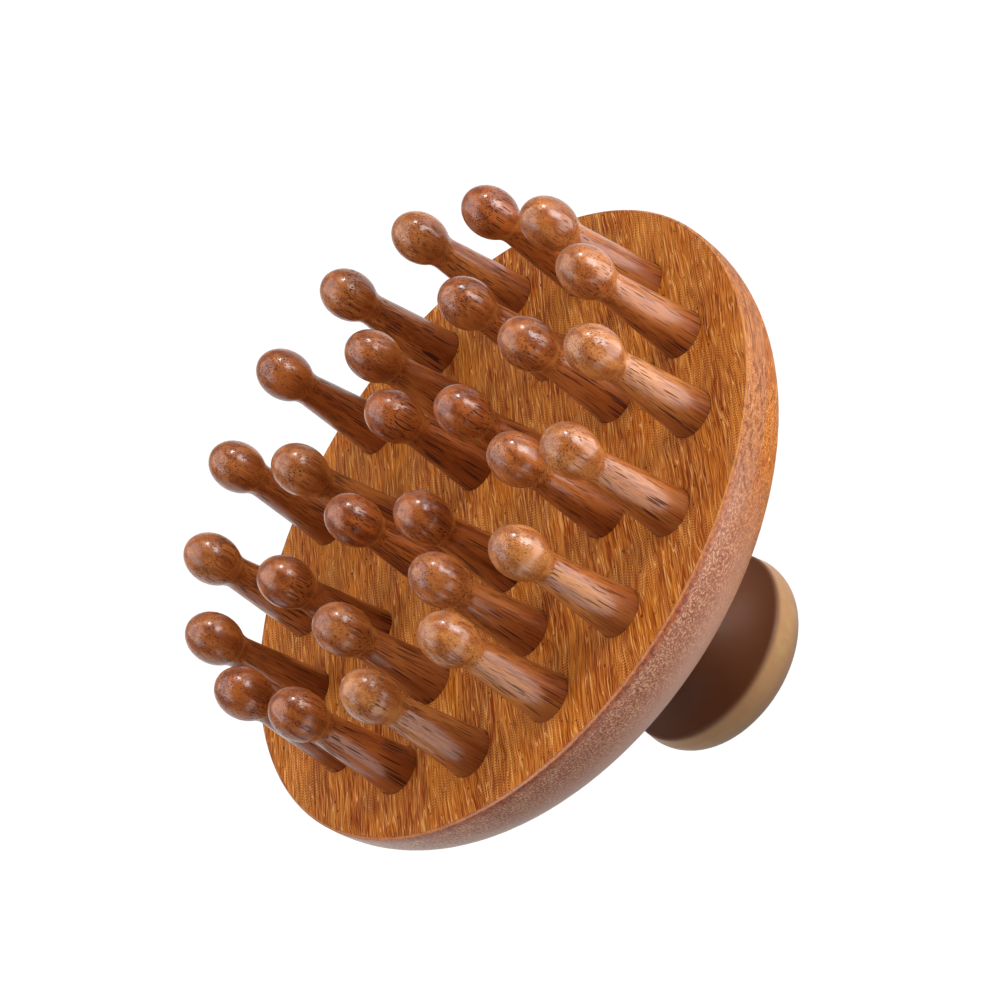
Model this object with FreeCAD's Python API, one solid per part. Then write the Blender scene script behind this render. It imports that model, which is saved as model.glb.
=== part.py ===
"""Wooden scalp massager: a domed disc with three rings of ball-headed pins and a turned knob handle.

Millimetres, +Z up. The massager stands on its knob with the pins upwards. The origin is the centre of
the knob's flat end, and Z is the axis that the disc and the knob were turned on.
"""

import FreeCAD, Part
import math
import os

# Disc: flat on the pins' side, domed at the back.
DISC_DIAMETER = 85.0
DISC_THICKNESS = 18.3
DOME_EXPONENT = 2.36          # 2 would be half an ellipsoid; more is squarer at the rim
DOME_STEPS = 12               # points that the dome's curve is drawn through
RIM_BEVEL = 0.25              # broken edge round the flat face

# Pins: the same turned head and neck in every ring, on a shaft that tapers up from the disc.
PIN_BASE_DIAMETER = 6.2
PIN_NECK_DIAMETER = 3.9       # where the taper would meet the head without its fillet
PIN_HEAD_DIAMETER = 6.3
PIN_HEAD_LENGTH = 8.0
PIN_NECK_FILLET = 3.0
PIN_PLUG_LENGTH = 8.0         # the cylinder glued into the disc
PIN_END_BEVEL = 0.4
SOCKET_CLEARANCE = 0.3        # room for glue under every plug and under the tenon
SOCKET_MOUTH_BEVEL = 0.12

# Rings: name, number of pins, ring radius, height of the heads' centres above the disc's face.
# The heads' tips lie on a shallow dish, so that they all reach a rounded scalp.
RINGS = (
    ("outer", 16, 33.5, 16.0),
    ("middle", 8, 21.8, 14.5),
    ("inner", 4, 9.9, 14.0),
)

# Knob: a mushroom-shaped handle with a waist for the fingers.
KNOB_HEIGHT = 25.0            # from the end of the knob to its shoulder on the disc
KNOB_RIM_RADIUS = 13.2
KNOB_END_ROUNDING = 4.4
KNOB_LIP_RADIUS = 12.95       # sharp edge between the rim and the hollow underside
KNOB_LIP_HEIGHT = 6.4
KNOB_LIP_FILLET = 0.5
KNOB_WAIST_RADIUS = 6.4
KNOB_COVE_RADIUS = 9.0        # of the hollow underside
KNOB_SHOULDER_RADIUS = 8.0
KNOB_WAIST_LENGTH = 2.0       # straight stretch between the two coves
SHOULDER_RECESS = 0.3         # flat seat let into the dome for the shoulder
TENON_DIAMETER = 10.0
TENON_LENGTH = 9.0
TENON_BEVEL = 0.6

CUTTER_OVERSHOOT = 1.0        # how far a cutter starts above the surface that it cuts
SAME_HEIGHT = 0.001           # heights this close are taken as equal

DISC_RADIUS = DISC_DIAMETER / 2
DOME_BOTTOM = KNOB_HEIGHT - SHOULDER_RECESS
FACE_HEIGHT = DOME_BOTTOM + DISC_THICKNESS

ORIGIN = FreeCAD.Vector(0, 0, 0)
Z_AXIS = FreeCAD.Vector(0, 0, 1)


def at(radius, height):
    """A point of a turned outline."""
    return FreeCAD.Vector(radius, 0, height)


def line(start, end):
    return Part.LineSegment(start, end).toShape()


def arc(start, middle, end):
    return Part.Arc(start, middle, end).toShape()


def turned(edges):
    """The solid that a closed outline of edges sweeps in one turn about Z."""
    face = Part.Face(Part.Wire(Part.__sortEdges__(edges)))
    return face.revolve(ORIGIN, Z_AXIS, 360)


def polyline(points):
    return [line(a, b) for a, b in zip(points, points[1:])]


def circles_at(solid, height):
    """The level edges of a turned solid at a height."""
    level = [edge for edge in solid.Edges if edge.BoundBox.ZLength < SAME_HEIGHT]
    return [edge for edge in level if abs(edge.BoundBox.ZMin - height) < SAME_HEIGHT]


def ring_places(count, radius):
    """The axes of a ring's pins, evenly spaced from +X."""
    for index in range(count):
        angle = 2 * math.pi * index / count
        yield FreeCAD.Vector(radius * math.cos(angle), radius * math.sin(angle), FACE_HEIGHT)


def dome_point(step):
    """A point of the superellipse from the rim, step 0, to the pole, step DOME_STEPS."""
    angle = math.pi / 2 * step / DOME_STEPS
    power = 2 / DOME_EXPONENT
    depth = (DISC_THICKNESS - RIM_BEVEL) * math.sin(angle) ** power
    return at(DISC_RADIUS * math.cos(angle) ** power, FACE_HEIGHT - RIM_BEVEL - depth)


def dome_blank():
    """The disc before drilling."""
    points = [dome_point(step) for step in range(DOME_STEPS)] + [at(0, DOME_BOTTOM)]
    dome = Part.BSplineCurve()
    dome.interpolate(Points=points, InitialTangent=at(0, -1), FinalTangent=at(-1, 0))
    centre = at(0, FACE_HEIGHT)
    bevel_top = at(DISC_RADIUS - RIM_BEVEL, FACE_HEIGHT)
    flat_sides = polyline([points[-1], centre, bevel_top, points[0]])
    return turned(flat_sides + [dome.toShape()])


def pin_socket():
    """A drilled socket with a broken mouth, below a face at height 0."""
    radius = PIN_BASE_DIAMETER / 2
    mouth = radius + SOCKET_MOUTH_BEVEL
    bottom = -PIN_PLUG_LENGTH - SOCKET_CLEARANCE
    return turned(polyline([
        at(0, CUTTER_OVERSHOOT), at(mouth, CUTTER_OVERSHOOT), at(mouth, 0), at(radius, -SOCKET_MOUTH_BEVEL),
        at(radius, bottom), at(0, bottom), at(0, CUTTER_OVERSHOOT),
    ]))


def knob_socket():
    """The flat seat and the blind hole in the disc's back."""
    seat_start = DOME_BOTTOM - CUTTER_OVERSHOOT
    seat = Part.makeCylinder(KNOB_SHOULDER_RADIUS, KNOB_HEIGHT - seat_start, at(0, seat_start))
    hole = Part.makeCylinder(TENON_DIAMETER / 2, TENON_LENGTH + SOCKET_CLEARANCE, at(0, KNOB_HEIGHT))
    return seat.fuse(hole)


def base_disc():
    drill = pin_socket()
    sockets = [knob_socket()]
    for _, count, radius, _ in RINGS:
        for place in ring_places(count, radius):
            sockets.append(drill.translated(place))
    return dome_blank().cut(sockets)


def massage_pin(head_height):
    """A pin on the Z axis, with the disc's face at height 0."""
    base = PIN_BASE_DIAMETER / 2
    neck = PIN_NECK_DIAMETER / 2
    head_radius = PIN_HEAD_DIAMETER / 2
    half_length = PIN_HEAD_LENGTH / 2
    crease = head_height - half_length * math.sqrt(1 - (neck / head_radius) ** 2)
    tip = at(0, head_height + half_length)
    head_centre = at(0, head_height)
    widest = at(head_radius, head_height)
    ellipse = Part.Ellipse(tip, widest, head_centre)
    crease_point = at(neck, crease)
    ends = sorted((ellipse.parameter(tip), ellipse.parameter(crease_point)))
    head = Part.ArcOfEllipse(ellipse, ends[0], ends[1]).toShape()
    shaft = polyline([
        tip, at(0, -PIN_PLUG_LENGTH), at(base - PIN_END_BEVEL, -PIN_PLUG_LENGTH),
        at(base, -PIN_PLUG_LENGTH + PIN_END_BEVEL), at(base, 0), crease_point,
    ])
    pin = turned(shaft + [head])
    return pin.makeFillet(PIN_NECK_FILLET, circles_at(pin, crease))


def cove(centre, radius, start, end):
    """The part of a concave circle from start to end, both given as points on it."""
    toward = (start - centre).normalize() + (end - centre).normalize()
    return arc(start, centre + toward.normalize() * radius, end)


def handle_knob():
    """The knob with its tenon, standing on its flat end at height 0."""
    flat_radius = KNOB_RIM_RADIUS - KNOB_END_ROUNDING
    widest = at(KNOB_RIM_RADIUS, KNOB_END_ROUNDING)
    lip = at(KNOB_LIP_RADIUS, KNOB_LIP_HEIGHT)
    half_turn = math.sqrt(0.5)
    end_round = arc(
        at(flat_radius, 0),
        at(flat_radius + KNOB_END_ROUNDING * half_turn, KNOB_END_ROUNDING * (1 - half_turn)),
        widest,
    )
    # The hollow underside is a cove that leaves the waist in line with Z and ends at the lip.
    cove_centre_radius = KNOB_WAIST_RADIUS + KNOB_COVE_RADIUS
    inward = cove_centre_radius - KNOB_LIP_RADIUS
    waist_bottom = KNOB_LIP_HEIGHT + math.sqrt(KNOB_COVE_RADIUS ** 2 - inward ** 2)
    waist_top = waist_bottom + KNOB_WAIST_LENGTH
    waist = line(at(KNOB_WAIST_RADIUS, waist_bottom), at(KNOB_WAIST_RADIUS, waist_top))
    underside = cove(
        at(cove_centre_radius, waist_bottom), KNOB_COVE_RADIUS,
        lip, at(KNOB_WAIST_RADIUS, waist_bottom),
    )
    # Above the waist a second cove widens to the shoulder that bears on the disc.
    rise = KNOB_HEIGHT - waist_top
    step = KNOB_SHOULDER_RADIUS - KNOB_WAIST_RADIUS
    neck_cove_radius = (rise ** 2 + step ** 2) / (2 * step)
    neck = cove(
        at(KNOB_WAIST_RADIUS + neck_cove_radius, waist_top), neck_cove_radius,
        at(KNOB_WAIST_RADIUS, waist_top), at(KNOB_SHOULDER_RADIUS, KNOB_HEIGHT),
    )
    tenon = TENON_DIAMETER / 2
    tenon_top = KNOB_HEIGHT + TENON_LENGTH
    end = line(at(0, 0), at(flat_radius, 0))
    outline = [end, end_round, line(widest, lip), underside, waist, neck] + polyline([
        at(KNOB_SHOULDER_RADIUS, KNOB_HEIGHT), at(tenon, KNOB_HEIGHT), at(tenon, tenon_top - TENON_BEVEL),
        at(tenon - TENON_BEVEL, tenon_top), at(0, tenon_top), at(0, 0),
    ])
    knob = turned(outline)
    return knob.makeFillet(KNOB_LIP_FILLET, circles_at(knob, KNOB_LIP_HEIGHT))


def build():
    parts = {"base_disc": base_disc(), "handle_knob": handle_knob()}
    for name, count, radius, head_height in RINGS:
        pin = massage_pin(head_height)
        for number, place in enumerate(ring_places(count, radius), start=1):
            parts[f"pin_{name}_{number:02d}"] = pin.translated(place)
    return parts


os.makedirs("parts", exist_ok=True)
for node, shape in build().items():
    assert shape.isValid() and len(shape.Solids) == 1, node
    shape.exportStep(f"parts/{node}.step")
    box = shape.BoundBox
    print(f"{node}: {shape.Volume:.1f} mm3, z {box.ZMin:.2f} to {box.ZMax:.2f}")
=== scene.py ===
"""Looks of the wooden scalp massager: its three woods, a pale floor, soft studio light and the camera.

Metres, in the row frame: the massager stands on its knob at height 0 with the pins upwards. The woods are
solid textures, laid out in millimetres, so that the same vessels show as streaks where a surface runs
along the grain and as dots where it cuts across.
"""

import math
import random
from types import SimpleNamespace

import bpy
from mathutils import Matrix, Quaternion, Vector


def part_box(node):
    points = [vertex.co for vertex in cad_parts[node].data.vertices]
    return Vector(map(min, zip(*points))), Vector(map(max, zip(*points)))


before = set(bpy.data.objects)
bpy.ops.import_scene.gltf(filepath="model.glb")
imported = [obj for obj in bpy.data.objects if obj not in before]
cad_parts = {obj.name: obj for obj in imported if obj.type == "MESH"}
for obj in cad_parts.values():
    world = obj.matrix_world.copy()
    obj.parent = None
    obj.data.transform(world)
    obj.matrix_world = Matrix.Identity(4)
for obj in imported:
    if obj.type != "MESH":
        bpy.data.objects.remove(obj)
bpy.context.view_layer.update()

MM_PER_METRE = 1000.0

# Camera: what it looks at, and from where.
CAMERA_AIM = Vector((0.0021, 0.0010, 0.0434))
CAMERA_DISTANCE = 0.5556
CAMERA_AZIMUTH = -64.8        # degrees from +X, counter-clockwise seen from above
CAMERA_ELEVATION = 32.8
CAMERA_ROLL = 58.45           # clockwise, seen from behind the camera
CAMERA_LENS = 164.85          # focal length in millimetres

# Studio: its backdrop lies this way from the massager, in degrees from +X.
BACKDROP_AZIMUTH = 115.2
FLOOR_SIZE = 8.0

# Square softboxes above the massager, which face it: direction to each, distance, side and power.
SOFTBOXES = (
    ("overhead_softbox", (-0.30, -0.05, 0.95), 0.90, 1.40, 11.6),
    ("high_softbox", (0.69, 0.15, 0.70), 0.66, 0.30, 0.50),
    ("small_lamp", (0.80, 0.18, 0.57), 1.00, 0.09, 2.2),
)
# Panels that lie or stand round the massager: place, facing, width, length and power.
PANELS = (
    ("floor_panel", (0.165, -0.045, 0.003), (0, 0, 1), 0.20, 0.13, 0.22),
    ("side_panel", (0.290, -0.070, 0.060), (-0.97, 0.24, 0), 0.14, 0.20, 0.74),
    ("back_panel", (0.280, 0.100, 0.060), (-0.94, -0.34, 0), 0.14, 0.20, 0.13),
    ("front_panel", (0.010, -0.155, 0.003), (0, 0, 1), 0.18, 0.12, 0.10),
    ("left_panel", (-0.38, -0.38, 0.36), (0.61, 0.61, -0.50), 0.50, 0.25, 0.55),
)

# Grain of the disc's blank, in the plane of its face, in degrees from +X.
DISC_GRAIN_ANGLE = 80.75

# Places that the wear and the painted light and shade follow, in millimetres.
_, disc_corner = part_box("base_disc")
FACE_HEIGHT = disc_corner.z * MM_PER_METRE
DISC_RADIUS = disc_corner.x * MM_PER_METRE
CREASE_BELOW_TIP = 6.8        # from a pin's tip down to the crease under its ball
KNOB_LIP_HEIGHT = 6.4         # where the knob's lip ends and its hollow begins

# Share of the shaft's radius by which a pin's grain closes up in each millimetre above the face.
PIN_TAPER = 0.040

# Each pin is cut from wood of its own: its tone from 0, red-brown, to 1, pale tan, the density of its
# vessels, the slope of its grain in radians, and where in the wood it was, in millimetres.
WOOD_SEED = 11
PIN_TONES = (0.15, 0.45)
PIN_DENSITIES = (0.4, 0.8)
PIN_SLOPES = (-0.02, 0.02)
PIN_PLACES = (-500, 500)

# Pins whose tone is set: partly their own wood, partly painted light on the pale ones and painted shade on
# the dark ones. Columns: tone, density and the pins.
PINS_OF_WOOD_AND_PAINTED_LIGHT = (
    (0.62, 0.3, ("pin_outer_12", "pin_outer_13", "pin_outer_14", "pin_outer_15", "pin_outer_16")),
    (0.42, 0.6, ("pin_outer_01", "pin_outer_02", "pin_outer_04", "pin_middle_06")),
    (0.10, 0.9, ("pin_outer_03", "pin_outer_10", "pin_inner_01", "pin_inner_02", "pin_inner_03")),
)


def rgb(red, green, blue):
    """A display colour, 0 to 255, as the linear colour that shaders use, by the sRGB curve."""
    def linear(value):
        share = value / 255
        return share / 12.92 if share <= 0.04045 else ((share + 0.055) / 1.055) ** 2.4
    return (linear(red), linear(green), linear(blue), 1.0)


class Shader:
    """The node tree of a material or a world. Most of its methods add nodes and return an output."""

    def __init__(self, owner):
        owner.use_nodes = True
        self.owner = owner
        self.tree = owner.node_tree
        self.tree.nodes.clear()

    def feed(self, socket, value):
        """Link a socket to another node's output, or set it to a plain value."""
        if isinstance(value, bpy.types.NodeSocket):
            self.tree.links.new(value, socket)
        else:
            socket.default_value = value

    def node(self, kind, inputs, **settings):
        made = self.tree.nodes.new(kind)
        for key, value in settings.items():
            setattr(made, key, value)
        for key, value in inputs.items():
            self.feed(made.inputs[key], value)
        return made

    def math(self, operation, first, second=0.0):
        return self.node("ShaderNodeMath", {0: first, 1: second}, operation=operation).outputs[0]

    def plus(self, first, second):
        return self.math("ADD", first, second)

    def minus(self, first, second):
        return self.math("SUBTRACT", first, second)

    def times(self, first, second):
        return self.math("MULTIPLY", first, second)

    def vector(self, operation, first, second):
        return self.node("ShaderNodeVectorMath", {0: first, 1: second}, operation=operation).outputs[0]

    def dot(self, first, second):
        return self.vector("DOT_PRODUCT", first, second).node.outputs["Value"]

    def axis_value(self, vector, axis):
        """The X, Y or Z value, axis 0, 1 or 2, of a vector."""
        return self.node("ShaderNodeSeparateXYZ", {0: vector}).outputs[axis]

    def mix(self, factor, first, second):
        """Colours mixed by a factor."""
        made = self.node("ShaderNodeMix", {}, data_type="RGBA")
        # Of this node's sockets, inputs 6 and 7 are the colours A and B, and output 2 is their mix.
        self.feed(made.inputs[0], factor)
        self.feed(made.inputs[6], first)
        self.feed(made.inputs[7], second)
        return made.outputs[2]

    def over(self, below, colour, mask, amount):
        """A colour laid over the one below. Where the mask is 1, it covers it by the amount."""
        return self.mix(self.times(mask, amount), below, colour)

    def step(self, value, low, high, at_low=0.0, at_high=1.0):
        """A smooth step from at_low to at_high as value goes from low to high."""
        inputs = {0: value, 1: low, 2: high, 3: at_low, 4: at_high}
        return self.node("ShaderNodeMapRange", inputs, interpolation_type="SMOOTHSTEP").outputs[0]

    def place(self):
        """Where the point is on the object, in millimetres."""
        where = self.node("ShaderNodeTexCoord", {}).outputs["Object"]
        return self.vector("MULTIPLY", where, (MM_PER_METRE,) * 3)

    def radius(self, place):
        """How far a place is from the massager's axis."""
        flat = self.vector("MULTIPLY", place, (1.0, 1.0, 0.0))
        return self.node("ShaderNodeVectorMath", {0: flat}, operation="LENGTH").outputs["Value"]

    def turned(self, place, rotation, offset=(0, 0, 0)):
        inputs = {"Vector": place, "Rotation": rotation, "Location": offset}
        return self.node("ShaderNodeMapping", inputs).outputs[0]

    def shifted(self, grain, along, sideways, deep):
        """The same grain coordinates elsewhere in the wood, so that two textures don't coincide."""
        return self.vector("ADD", grain, (along, sideways, deep))

    def squeezed(self, grain, length, width):
        """Grain coordinates in which a feature of that length and width is one unit each way."""
        return self.vector("MULTIPLY", grain, (1 / length, 1 / width, 1 / width))

    def noise(self, vector, detail=2.0, roughness=0.5):
        inputs = {"Vector": vector, "Scale": 1.0, "Detail": detail, "Roughness": roughness}
        return self.node("ShaderNodeTexNoise", inputs).outputs[0]

    def streaks(self, grain, length, width, detail=2.0, roughness=0.5):
        """Noise drawn out along the grain, from 0 to 1."""
        return self.noise(self.squeezed(grain, length, width), detail, roughness)

    def waved(self, grain, length, sideways, deep):
        """Grain coordinates whose fibres wander sideways and in depth by about that much over a length."""
        inputs = {"Vector": self.squeezed(grain, length, length / 2), "Scale": 1.0, "Detail": 1.0}
        wander = self.node("ShaderNodeTexNoise", inputs).outputs["Color"]
        centred = self.vector("SUBTRACT", wander, (0.5, 0.5, 0.5))
        return self.vector("ADD", grain, self.vector("MULTIPLY", centred, (0.0, 2 * sideways, 2 * deep)))

    def rods(self, grain, length, spacing, size, blur):
        """1 inside rods along the grain, which show as dashes on long grain and as dots on end grain."""
        inputs = {"Vector": self.squeezed(grain, length, spacing), "Scale": 1.0}
        cells = self.node("ShaderNodeTexVoronoi", inputs)
        uneven = self.node("ShaderNodeSeparateColor", {0: cells.outputs["Color"]}).outputs[0]
        distance = self.plus(cells.outputs["Distance"], self.times(uneven, size))
        return self.step(distance, size, size + blur, 1.0, 0.0)

    def lines(self, grain, length, spacing, thickness):
        """1 on long thin lines that run along the grain about a spacing apart."""
        level = self.streaks(grain, length, spacing, detail=1.0)
        from_middle = self.math("ABSOLUTE", self.minus(level, 0.5))
        return self.step(from_middle, 0.0, thickness, 1.0, 0.0)

    def finish(self, colour, roughness, bump, depth, gloss, coat, coat_roughness=0.19):
        """The surface, with a bump of depth millimetres. Gloss is the bare wood's, and coat is the oil's."""
        relief = {"Strength": 1.0, "Distance": depth / MM_PER_METRE, "Height": bump}
        normal = self.node("ShaderNodeBump", relief).outputs[0]
        inputs = {
            "Base Color": colour, "Roughness": roughness, "Normal": normal,
            "Specular IOR Level": gloss, "Coat Weight": coat, "Coat Roughness": coat_roughness,
        }
        principled = self.node("ShaderNodeBsdfPrincipled", inputs)
        self.node("ShaderNodeOutputMaterial", {"Surface": principled.outputs[0]})
        return self.owner


def ripple_marks(shader, grain, wavy, streaks):
    """Fine bars square to the grain, from -1 to 1, strong in some patches and absent in others."""
    period = 0.42
    jitter = 14.0
    along = shader.times(shader.axis_value(grain, 0), 2 * math.pi / period)
    drift = shader.streaks(wavy, length=6.0, width=0.35, detail=1.0)
    bars = shader.math("SINE", shader.plus(along, shader.times(drift, jitter)))
    patches = shader.step(shader.streaks(grain, length=10.0, width=6.25), 0.44, 0.60)
    in_streaks = shader.step(streaks, 0.35, 0.60, 0.4, 1.0)
    return shader.times(shader.times(bars, patches), in_streaks)


def disc_figure(shader, grain):
    """The figure of the disc's wood, which its colours and its relief share."""
    wavy = shader.waved(grain, length=20.0, sideways=1.2, deep=0.15)
    wavy = shader.waved(wavy, length=4.5, sideways=0.30, deep=0.04)
    streaks = shader.streaks(wavy, length=9.0, width=0.30, detail=3.0, roughness=0.65)
    vessels = shader.shifted(wavy, 5.0, 3.3, 1.7)
    pits = shader.shifted(wavy, 1.0, 7.3, 4.7)
    return SimpleNamespace(
        wavy=wavy,
        streaks=streaks,
        fibres=shader.streaks(wavy, length=3.5, width=0.11),
        vessels=shader.rods(vessels, length=8.0, spacing=0.30, size=0.19, blur=0.07),
        pits=shader.rods(pits, length=1.6, spacing=1.0, size=0.13, blur=0.06),
        ripple=ripple_marks(shader, grain, wavy, streaks),
    )


def disc_long_grain(shader, figure, on_side):
    """Orange-brown with pale and dark streaks. Where it comes out on the side it is bleached."""
    wavy = figure.wavy
    streaks = figure.streaks
    fibres = figure.fibres
    bands = shader.streaks(wavy, length=45.0, width=4.0)
    pale_rods = shader.rods(wavy, length=13.0, spacing=0.40, size=0.15, blur=0.07)
    pale_lines = shader.lines(wavy, length=11.0, spacing=0.6, thickness=0.024)
    pale = shader.math("MAXIMUM", pale_rods, pale_lines)
    creases = shader.shifted(wavy, 4.0, 9.1, 6.3)
    creases = shader.lines(creases, length=8.0, spacing=0.9, thickness=0.022)
    light_bars = shader.math("MAXIMUM", figure.ripple, 0.0)
    dark_bars = shader.math("MAXIMUM", shader.times(figure.ripple, -1.0), 0.0)
    coarse = shader.streaks(wavy, length=12.0, width=0.42, detail=3.0, roughness=0.6)
    coarse = shader.times(on_side, shader.step(coarse, 0.50, 0.60))

    colour = shader.mix(shader.step(bands, 0.38, 0.62), rgb(140, 59, 8), rgb(172, 90, 19))
    colour = shader.over(colour, rgb(194, 118, 38), shader.step(streaks, 0.50, 0.68), 0.80)
    colour = shader.over(colour, rgb(114, 40, 5), shader.step(streaks, 0.47, 0.32), 0.80)
    colour = shader.over(colour, rgb(212, 140, 60), shader.step(fibres, 0.50, 0.60), 0.50)
    colour = shader.over(colour, rgb(102, 34, 4), shader.step(fibres, 0.50, 0.40), 0.50)
    colour = shader.over(colour, rgb(88, 26, 3), figure.vessels, 0.70)
    colour = shader.over(colour, rgb(100, 30, 4), creases, 0.65)
    colour = shader.over(colour, rgb(232, 174, 104), pale, 0.62)
    colour = shader.over(colour, rgb(76, 18, 2), figure.pits, 0.85)
    colour = shader.over(colour, rgb(238, 172, 92), light_bars, 0.34)
    colour = shader.over(colour, rgb(124, 46, 8), dark_bars, 0.40)
    colour = shader.over(colour, rgb(160, 112, 84), on_side, 0.45)
    return shader.over(colour, rgb(104, 52, 32), coarse, 0.75)


def disc_end_grain(shader, figure, height):
    """Mauve-brown, paler lower down by a painted sheen, with pale flecks round the vessels and small dark
    pores.
    """
    flecks = shader.streaks(figure.wavy, length=6.0, width=0.25, roughness=0.6)
    crowded = shader.streaks(figure.wavy, length=12.0, width=2.2, detail=1.0)
    flecks = shader.step(shader.plus(flecks, shader.times(crowded, 0.16)), 0.57, 0.68)
    # A painted sheen: the side is made paler lower down.
    painted_sheen_lower_down = shader.step(height, FACE_HEIGHT - 2.5, FACE_HEIGHT - 8.5)

    colour = shader.mix(shader.step(figure.streaks, 0.35, 0.65), rgb(142, 80, 60), rgb(174, 114, 90))
    colour = shader.over(colour, rgb(226, 178, 140), flecks, 0.72)
    colour = shader.over(colour, rgb(104, 46, 34), figure.vessels, 0.45)
    return shader.over(colour, rgb(212, 160, 138), painted_sheen_lower_down, 0.80)


def worn_and_highlit_at_rim(shader, colour, place, height, radius, end_grain_on_side):
    """The colour, with a warm nicked band where end grain meets the face, and a highlight painted pale on
    the arris.
    """
    nicks = shader.noise(shader.vector("MULTIPLY", place, (1.3, 1.3, 2.2)), detail=3.0, roughness=0.7)
    uneven_height = shader.plus(height, shader.times(nicks, 0.8))
    band = shader.step(uneven_height, FACE_HEIGHT - 0.9, FACE_HEIGHT - 0.1)
    warm = shader.mix(shader.step(nicks, 0.44, 0.60), rgb(172, 82, 24), rgb(112, 32, 8))
    colour = shader.over(colour, warm, shader.times(band, end_grain_on_side), 0.80)

    # A painted highlight: a pale line along the arris.
    outermost = shader.step(radius, DISC_RADIUS - 0.30, DISC_RADIUS - 0.18)
    uppermost = shader.step(height, FACE_HEIGHT - 0.26, FACE_HEIGHT - 0.14)
    return shader.over(colour, rgb(220, 144, 68), shader.times(outermost, uppermost), 0.35)


def disc_wood():
    """Padauk-like wood, orange-brown on long grain and mauve-brown on end grain, worn at the rim, with a
    highlight painted on its arris.
    """
    shader = Shader(bpy.data.materials.new("disc_wood_looks"))
    place = shader.place()
    height = shader.axis_value(place, 2)
    radius = shader.radius(place)
    on_side = shader.step(radius, DISC_RADIUS - 0.5, DISC_RADIUS - 0.3)
    grain_angle = math.radians(DISC_GRAIN_ANGLE)
    figure = disc_figure(shader, shader.turned(place, (0, 0, -grain_angle)))

    # How far the surface cuts across the grain: 0 along it, 1 on end grain.
    normal = shader.node("ShaderNodeTexCoord", {}).outputs["Normal"]
    across = shader.dot(normal, (math.cos(grain_angle), math.sin(grain_angle), 0.0))
    end_grain = shader.step(shader.math("ABSOLUTE", across), 0.30, 0.80)

    long_grain_colour = disc_long_grain(shader, figure, on_side)
    colour = shader.mix(end_grain, long_grain_colour, disc_end_grain(shader, figure, height))
    colour = worn_and_highlit_at_rim(shader, colour, place, height, radius, shader.times(on_side, end_grain))

    roughness = shader.step(figure.streaks, 0.2, 0.8, 0.58, 0.46)
    relief = shader.plus(shader.times(figure.fibres, 0.35), shader.times(figure.ripple, 0.18))
    relief = shader.minus(relief, shader.times(figure.vessels, 0.5))
    relief = shader.minus(relief, shader.times(figure.pits, 0.7))
    coat = shader.times(end_grain, 0.85)
    return shader.finish(colour, roughness, relief, depth=0.05, gloss=0.10, coat=coat, coat_roughness=0.30)


def untapered(shader, place, height, pin_centre, crease):
    """Places about a pin's axis, spread more the higher they are, so that vessels follow the taper."""
    about_axis = shader.vector("SUBTRACT", place, (pin_centre.x, pin_centre.y, 0.0))
    risen = shader.math("MINIMUM", shader.math("MAXIMUM", height, FACE_HEIGHT), crease)
    lost = shader.times(shader.minus(risen, FACE_HEIGHT), PIN_TAPER)
    spread = shader.math("DIVIDE", 1.0, shader.minus(1.0, lost))
    spread = shader.node("ShaderNodeCombineXYZ", {0: spread, 1: spread, 2: 1.0}).outputs[0]
    return shader.vector("MULTIPLY", about_axis, spread)


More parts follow.
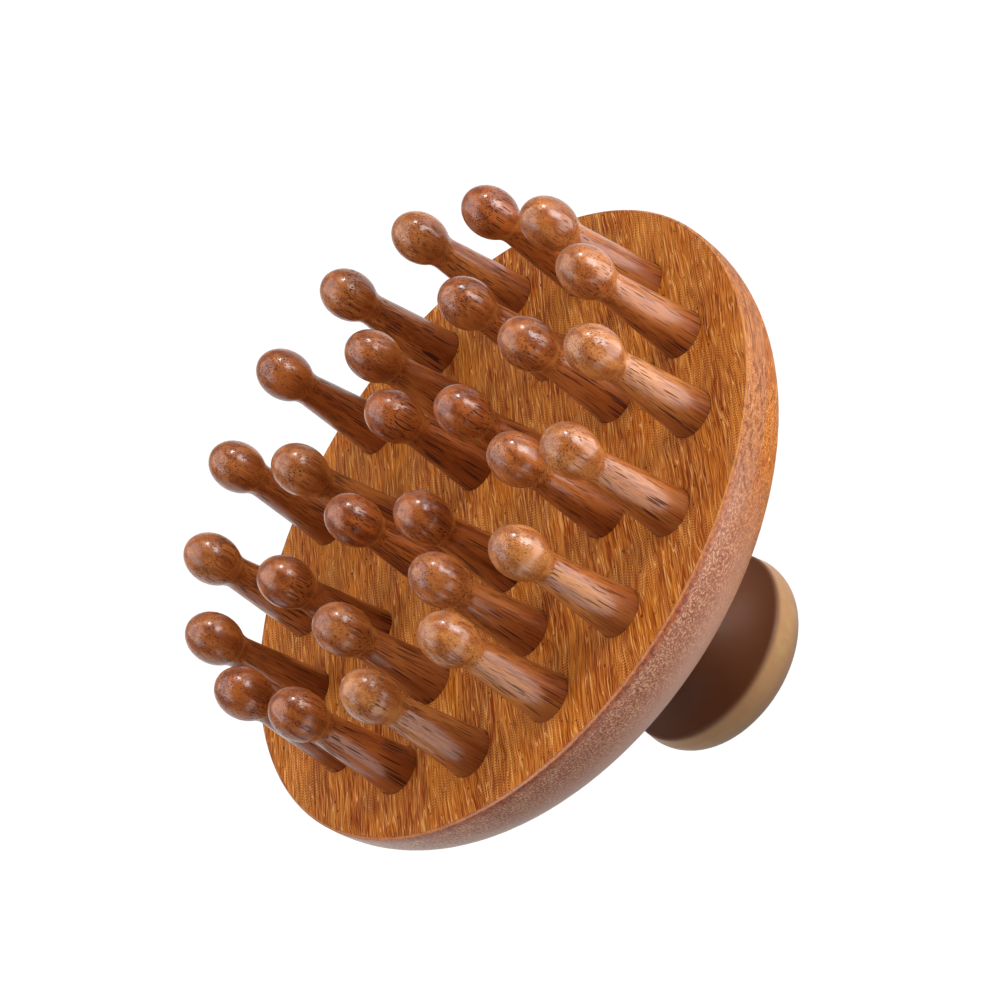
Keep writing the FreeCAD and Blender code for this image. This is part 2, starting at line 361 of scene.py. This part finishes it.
def pin_wood(name, tone, density, chance):
    """Tan wood with dark vessels along the pin. Tone goes from 0, red-brown, to 1, pale tan."""
    shader = Shader(bpy.data.materials.new(f"{name}_looks"))
    low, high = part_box(name)
    crease = high.z * MM_PER_METRE - CREASE_BELOW_TIP
    place = shader.place()
    height = shader.axis_value(place, 2)
    parallel = untapered(shader, place, height, (low + high) / 2 * MM_PER_METRE, crease)
    spin = Matrix.Rotation(chance.uniform(0, 2 * math.pi), 3, "Z")
    upright = Matrix.Rotation(math.pi / 2 + chance.uniform(*PIN_SLOPES), 3, "Y")
    offset = tuple(chance.uniform(*PIN_PLACES) for _ in range(3))
    grain = shader.turned(parallel, (upright @ spin).to_euler("XYZ"), offset)
    wavy = shader.waved(grain, length=14.0, sideways=0.05, deep=0.05)

    bands = shader.streaks(wavy, length=30.0, width=2.5)
    fibres = shader.streaks(wavy, length=7.0, width=0.16, detail=3.0, roughness=0.6)
    vessels = shader.rods(wavy, length=7.0, spacing=0.33, size=0.30 + 0.10 * density, blur=0.07)
    fine_vessels = shader.shifted(wavy, 3.0, 1.3, 2.7)
    fine_vessels = shader.rods(fine_vessels, length=6.0, spacing=0.24, size=0.40, blur=0.09)
    # Shade is painted darker and redder near the face, and the crease under the ball is rubbed yellow.
    painted_shade_near_face = shader.step(height, FACE_HEIGHT + 7.0, FACE_HEIGHT)
    from_crease = shader.math("ABSOLUTE", shader.minus(height, crease))
    rubbed = shader.step(from_crease, 0.5, 0.1)

    red = shader.mix(tone, rgb(114, 44, 9), rgb(178, 100, 42))
    tan = shader.mix(tone, rgb(170, 86, 30), rgb(212, 144, 80))
    colour = shader.mix(shader.step(bands, 0.38, 0.62), red, tan)
    colour = shader.over(colour, tan, shader.step(fibres, 0.48, 0.60), 0.50)
    colour = shader.over(colour, rgb(112, 46, 12), shader.step(fibres, 0.48, 0.36), 0.50)
    # Painted shade near the face.
    colour = shader.over(colour, rgb(112, 44, 12), painted_shade_near_face, 0.55)
    colour = shader.over(colour, rgb(218, 156, 84), rubbed, 0.22)
    colour = shader.over(colour, rgb(84, 31, 7), fine_vessels, 0.60 + 0.25 * density)
    colour = shader.over(colour, rgb(54, 15, 3), vessels, 0.75 + 0.20 * density)

    relief = shader.minus(shader.times(fibres, 0.3), shader.times(vessels, 0.6))
    # The open vessels take no oil, so the highlights break up over them.
    roughness = shader.plus(shader.step(fibres, 0.2, 0.8, 0.40, 0.28), shader.times(vessels, 0.5))
    coat = shader.step(vessels, 0.0, 1.0, 0.90, 0.0)
    return shader.finish(colour, roughness, relief, depth=0.04, gloss=0.35, coat=coat)


def knob_wood():
    """Close-grained golden tan wood with almost no figure, with shade painted dark in its hollow."""
    shader = Shader(bpy.data.materials.new("knob_wood_looks"))
    place = shader.place()
    height = shader.axis_value(place, 2)
    grain = shader.turned(place, (0, math.pi / 2, 0))
    wavy = shader.waved(grain, length=16.0, sideways=0.8, deep=0.8)
    bands = shader.streaks(wavy, length=40.0, width=4.0)
    fibres = shader.streaks(wavy, length=4.0, width=0.20, detail=3.0, roughness=0.6)
    pores = shader.rods(wavy, length=3.0, spacing=0.40, size=0.10, blur=0.10)
    mottle = shader.noise(shader.vector("MULTIPLY", grain, (0.35,) * 3))
    # Shade is painted dark in the hollow of the knob and left off its lip.
    hollow = shader.step(height, KNOB_LIP_HEIGHT - 1.0, KNOB_LIP_HEIGHT + 0.1)
    foot = shader.step(height, 4.0, 0.8)

    colour = shader.mix(bands, rgb(178, 128, 84), rgb(200, 154, 108))
    colour = shader.mix(shader.step(mottle, 0.50, 0.66), colour, rgb(190, 152, 98))
    colour = shader.over(colour, rgb(204, 158, 110), fibres, 0.30)
    colour = shader.over(colour, rgb(118, 70, 38), pores, 0.25)
    colour = shader.over(colour, rgb(140, 92, 66), foot, 0.65)
    # Painted shade in the hollow.
    colour = shader.over(colour, rgb(88, 40, 18), hollow, 0.92)

    relief = shader.minus(shader.times(fibres, 0.3), shader.times(pores, 0.4))
    roughness = shader.plus(shader.step(fibres, 0.2, 0.8, 0.44, 0.34), shader.times(hollow, 0.15))
    coat = shader.step(hollow, 0.0, 1.0, 0.25, 0.0)
    return shader.finish(colour, roughness, relief, depth=0.03, gloss=0.30, coat=coat)


def dress(node, material):
    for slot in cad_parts[node].material_slots:
        slot.material = material


def dress_all():
    chance = random.Random(WOOD_SEED)
    dress("base_disc", disc_wood())
    dress("handle_knob", knob_wood())
    for node in sorted(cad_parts):
        if not node.startswith("pin_"):
            continue
        tone = chance.uniform(*PIN_TONES)
        density = chance.uniform(*PIN_DENSITIES)
        for tone_of_wood_and_painted_light, marked_density, nodes in PINS_OF_WOOD_AND_PAINTED_LIGHT:
            if node in nodes:
                # The set tone is partly the pin's wood, partly painted light on pale pins and painted shade
                # on dark ones.
                tone = tone_of_wood_and_painted_light
                density = marked_density
        dress(node, pin_wood(node, tone, density, chance))


def toward_backdrop(shader, vector, near, far, at_near, at_far):
    """A smooth step from at_near to at_far, as the vector goes from near to far towards the backdrop."""
    azimuth = math.radians(BACKDROP_AZIMUTH)
    depth = shader.dot(vector, (math.cos(azimuth), math.sin(azimuth), 0.0))
    return shader.step(depth, near, far, at_near, at_far)


def shown_white(shader, brightness):
    """The brightness that lights the massager, but full white where the camera looks straight at it."""
    seen = shader.node("ShaderNodeLightPath", {}).outputs["Is Camera Ray"]
    return shader.math("MAXIMUM", brightness, seen)


def add_floor():
    """A floor that shows white, and that lights the massager mostly from the backdrop's side."""
    bpy.ops.mesh.primitive_plane_add(size=FLOOR_SIZE, location=(0, 0, 0))
    floor = bpy.context.object
    floor.name = "floor"
    shader = Shader(bpy.data.materials.new("pale_floor"))
    where = shader.node("ShaderNodeTexCoord", {}).outputs["Object"]
    glow = toward_backdrop(shader, where, near=-0.08, far=0.06, at_near=0.06, at_far=0.75)
    inputs = {
        "Base Color": (0.06, 0.06, 0.06, 1.0), "Roughness": 0.9, "Specular IOR Level": 0.0,
        "Emission Color": (1.0, 1.0, 1.0, 1.0), "Emission Strength": shown_white(shader, glow),
    }
    principled = shader.node("ShaderNodeBsdfPrincipled", inputs)
    shader.node("ShaderNodeOutputMaterial", {"Surface": principled.outputs[0]})
    floor.data.materials.append(shader.owner)


def add_world():
    """Surroundings that show white, and that light the massager mostly from the backdrop's side."""
    shader = Shader(bpy.data.worlds.new("studio"))
    direction = shader.node("ShaderNodeTexCoord", {}).outputs["Generated"]
    glow = toward_backdrop(shader, direction, near=-0.5, far=0.8, at_near=0.02, at_far=0.30)
    inputs = {"Color": (1.0, 1.0, 1.0, 1.0), "Strength": shown_white(shader, glow)}
    background = shader.node("ShaderNodeBackground", inputs)
    shader.node("ShaderNodeOutputWorld", {"Surface": background.outputs[0]})
    bpy.context.scene.world = shader.owner


def add_softbox(name, place, facing, width, length, power):
    """A rectangular softbox that only its light and its reflections show."""
    data = bpy.data.lights.new(name, "AREA")
    data.shape = "RECTANGLE"
    data.size = width
    data.size_y = length
    data.energy = power
    lamp = bpy.data.objects.new(name, data)
    lamp.location = place
    lamp.rotation_euler = (-Vector(facing)).to_track_quat("Z", "Y").to_euler()
    lamp.visible_camera = False
    bpy.context.scene.collection.objects.link(lamp)


def add_lights():
    for name, direction, distance, side, power in SOFTBOXES:
        toward = Vector(direction).normalized()
        add_softbox(name, CAMERA_AIM + toward * distance, -toward, side, side, power)
    for name, place, facing, width, length, power in PANELS:
        add_softbox(name, place, facing, width, length, power)


def add_camera():
    data = bpy.data.cameras.new("camera")
    data.lens = CAMERA_LENS
    data.clip_start = 0.01
    camera = bpy.data.objects.new("camera", data)
    azimuth = math.radians(CAMERA_AZIMUTH)
    elevation = math.radians(CAMERA_ELEVATION)
    toward_camera = Vector((
        math.cos(azimuth) * math.cos(elevation),
        math.sin(azimuth) * math.cos(elevation),
        math.sin(elevation),
    ))
    camera.location = CAMERA_AIM + toward_camera * CAMERA_DISTANCE
    level = toward_camera.to_track_quat("Z", "Y")
    camera.rotation_mode = "QUATERNION"
    camera.rotation_quaternion = level @ Quaternion((0, 0, 1), -math.radians(CAMERA_ROLL))
    bpy.context.scene.collection.objects.link(camera)
    bpy.context.scene.camera = camera


dress_all()
add_floor()
add_lights()
add_world()
add_camera()
bpy.context.scene.view_settings.view_transform = "Standard"
